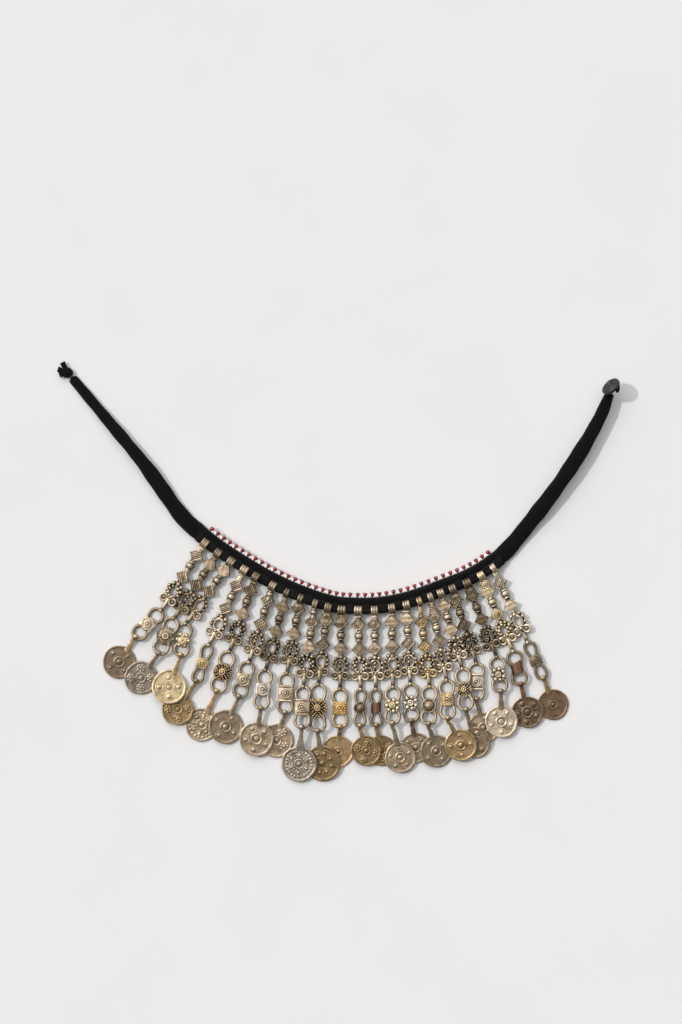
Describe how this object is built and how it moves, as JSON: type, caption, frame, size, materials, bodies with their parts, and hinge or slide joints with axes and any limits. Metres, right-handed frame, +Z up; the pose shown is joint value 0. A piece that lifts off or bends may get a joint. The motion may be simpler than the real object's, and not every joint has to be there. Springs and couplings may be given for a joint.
{
  "type": "bib necklace",
  "caption": "Bib necklace laid open and flat: black cloth neck band with a seed-bead edge, cast metal bars on a cord, oval links with bosses and stamped coins, button and knot ends.",
  "frame": {"origin": "middle of the necklace's box, on the surface that it lies on", "axes": "+X across the band towards the button end, +Y from the coins towards the neck opening, +Z up from the surface"},
  "size_m": [0.2796, 0.2094, 0.0141],
  "materials": {
    "bar_metal": "aged cast nickel silver and brass, dark in the recesses",
    "coin_metal": "aged stamped coin metal",
    "cloth": "knitted black cloth, padded",
    "cord": "black cord",
    "beads": "white and dark red glass seed beads",
    "horn": "dark grey"
  },
  "bodies": {
    "root": {"strand_01": "bar_metal", "strand_02": "bar_metal", "strand_03": "bar_metal", "strand_04": "bar_metal", "strand_05": "bar_metal", "strand_06": "bar_metal", "strand_07": "bar_metal", "strand_08": "bar_metal", "strand_09": "bar_metal", "strand_10": "bar_metal", "strand_11": "bar_metal", "strand_12": "bar_metal", "strand_13": "bar_metal", "strand_14": "bar_metal", "strand_15": "bar_metal", "strand_16": "bar_metal", "strand_17": "bar_metal", "strand_18": "bar_metal", "strand_19": "bar_metal", "strand_20": "bar_metal", "strand_21": "bar_metal", "strand_22": "bar_metal", "coin_01": "coin_metal", "coin_02": "coin_metal", "coin_03": "coin_metal", "coin_04": "coin_metal", "coin_05": "coin_metal", "coin_06": "coin_metal", "coin_07": "coin_metal", "coin_08": "coin_metal", "coin_09": "coin_metal", "coin_10": "coin_metal", "coin_11": "coin_metal", "coin_12": "coin_metal", "coin_13": "coin_metal", "coin_14": "coin_metal", "coin_15": "coin_metal", "coin_16": "coin_metal", "coin_17": "coin_metal", "coin_18": "coin_metal", "coin_19": "coin_metal", "coin_20": "coin_metal", "coin_21": "coin_metal", "coin_22": "coin_metal", "neck_band": "cloth", "bail_cord": "cord", "bead_edging": "beads", "button": "horn", "end_knot": "cloth"}
  },
  "joints": []
}
